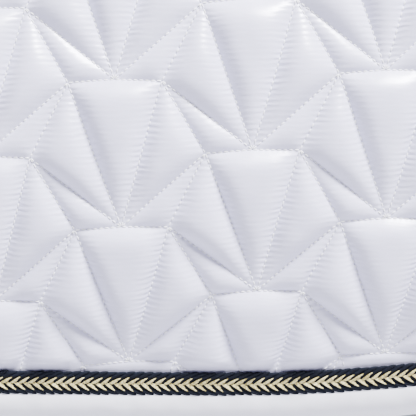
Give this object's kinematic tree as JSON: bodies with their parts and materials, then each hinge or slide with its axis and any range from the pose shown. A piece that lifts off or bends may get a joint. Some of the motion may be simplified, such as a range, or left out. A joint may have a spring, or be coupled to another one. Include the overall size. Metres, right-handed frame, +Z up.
{
  "type": "saddle pad",
  "caption": "Quilted horse saddle pad: two padded flaps folded about a taped spine, with bound and braided edges, girth keepers and hook-and-loop billet straps.",
  "frame": {"origin": "middle of the flat underside of the inner spine tape, on the pad's centre plane", "axes": "+X along the spine towards the rear, +Y towards the off-side (right) flap, +Z up"},
  "size_m": [0.5961, 0.4074, 0.4461],
  "materials": {
    "satin": "white satin-weave quilted cover with a soft sheen",
    "wadding": "white polyester wadding, fluffy",
    "lining": "matte white cotton",
    "binding": "smooth white woven tape",
    "navy_yarn": "navy braided yarn, matte",
    "gold_yarn": "metallic gold lurex strands",
    "webbing": "white ribbed webbing",
    "hook_tape": "white hook-and-loop tape",
    "label": "blank white satin label"
  },
  "bodies": {
    "spine": {"spine_tape_inner": "binding", "spine_tape_outer": "binding", "spine_seam_core": "lining", "spine_front_binding": "binding", "spine_front_navy_braid": "navy_yarn", "spine_front_gold_braid": "gold_yarn", "spine_rear_binding": "binding", "spine_rear_navy_braid": "navy_yarn", "spine_rear_gold_braid": "gold_yarn"},
    "left_flap": {"left_cover": "satin", "left_wadding": "wadding", "left_lining": "lining", "left_edge_binding": "binding", "left_navy_braid": "navy_yarn", "left_gold_braid": "gold_yarn", "left_girth_keeper": "webbing", "left_strap_base": "webbing", "left_strap_loop_tape": "hook_tape", "care_label": "label"},
    "left_tongue": {"left_strap_tongue": "webbing", "left_strap_hook_tape": "hook_tape"},
    "right_flap": {"right_cover": "satin", "right_wadding": "wadding", "right_lining": "lining", "right_edge_binding": "binding", "right_navy_braid": "navy_yarn", "right_gold_braid": "gold_yarn", "right_girth_keeper": "webbing", "right_strap_base": "webbing", "right_strap_loop_tape": "hook_tape"},
    "right_tongue": {"right_strap_tongue": "webbing", "right_strap_hook_tape": "hook_tape"}
  },
  "joints": [
    {"name": "left_fold", "type": "hinge", "parent": "spine", "child": "left_flap", "pos_m": [0, -0.017, 0.0032], "axis": [-1, 0, 0], "range_deg": [-20, 65]},
    {"name": "right_fold", "type": "hinge", "parent": "spine", "child": "right_flap", "pos_m": [0, 0.017, 0.0032], "axis": [1, 0, 0], "range_deg": [-20, 65]},
    {"name": "left_tongue_fold", "type": "hinge", "parent": "left_flap", "child": "left_tongue", "pos_m": [-0.17, -0.13287, -0.10983], "axis": [1, 0, 0], "range_deg": [0, 130]},
    {"name": "right_tongue_fold", "type": "hinge", "parent": "right_flap", "child": "right_tongue", "pos_m": [-0.17, 0.13287, -0.10983], "axis": [-1, 0, 0], "range_deg": [0, 130]}
  ]
}
